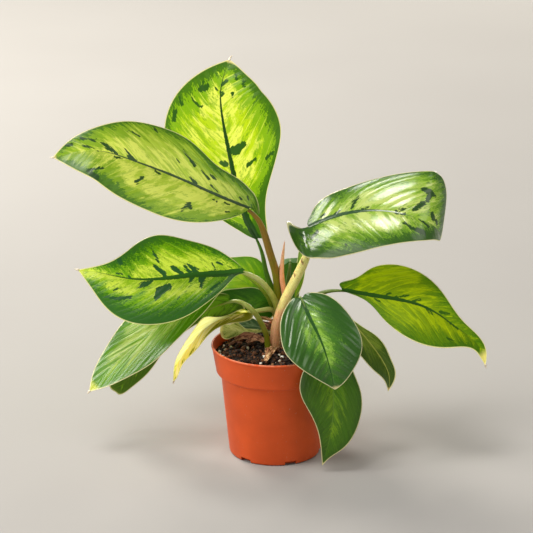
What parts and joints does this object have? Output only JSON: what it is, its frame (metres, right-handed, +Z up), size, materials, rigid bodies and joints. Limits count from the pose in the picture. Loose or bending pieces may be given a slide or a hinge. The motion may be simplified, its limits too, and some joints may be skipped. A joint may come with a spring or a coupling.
{
  "type": "potted homalomena",
  "caption": "Low leafy houseplant with broad mottled green leaves on arching stalks, growing from soil in a tapered plastic nursery pot; stands on its flat base.",
  "frame": {"origin": "centre of the pot's flat base, on the surface it stands on", "axes": "+Z up along the pot's axis, +X to the right of the plant's front, -Y towards the front"},
  "size_m": [0.398, 0.1613, 0.361],
  "materials": {
    "pot": "satin",
    "soil": "rough",
    "leaf_top": "satin",
    "leaf_high_left": "satin",
    "leaf_left": "satin",
    "leaf_low_left": "satin",
    "leaf_under_left": "satin",
    "leaf_inner_left": "satin",
    "leaf_yellow": "satin",
    "leaf_high_right": "satin",
    "leaf_right": "satin",
    "leaf_front": "satin",
    "leaf_hanging": "satin",
    "leaf_low_right": "satin",
    "leaf_back_left": "satin",
    "leaf_back": "satin",
    "leaf_narrow": "satin",
    "leaf_wilted": "satin",
    "leaf_grey": "satin",
    "stem": "satin",
    "stalk_high_right": "satin",
    "stalk_under_left": "satin",
    "new_leaf": "satin"
  },
  "bodies": {
    "root": {"pot": "pot", "soil": "soil", "stem": "stem", "stalk_high_right": "stalk_high_right", "stalk_under_left": "stalk_under_left", "new_leaf": "new_leaf", "leaf_top": "leaf_top", "leaf_high_left": "leaf_high_left", "leaf_left": "leaf_left", "leaf_low_left": "leaf_low_left", "leaf_under_left": "leaf_under_left", "leaf_inner_left": "leaf_inner_left", "leaf_yellow": "leaf_yellow", "leaf_high_right": "leaf_high_right", "leaf_right": "leaf_right", "leaf_front": "leaf_front", "leaf_hanging": "leaf_hanging", "leaf_low_right": "leaf_low_right", "leaf_back_left": "leaf_back_left", "leaf_back": "leaf_back", "leaf_narrow": "leaf_narrow", "leaf_wilted": "leaf_wilted", "leaf_grey": "leaf_grey"}
  },
  "joints": []
}
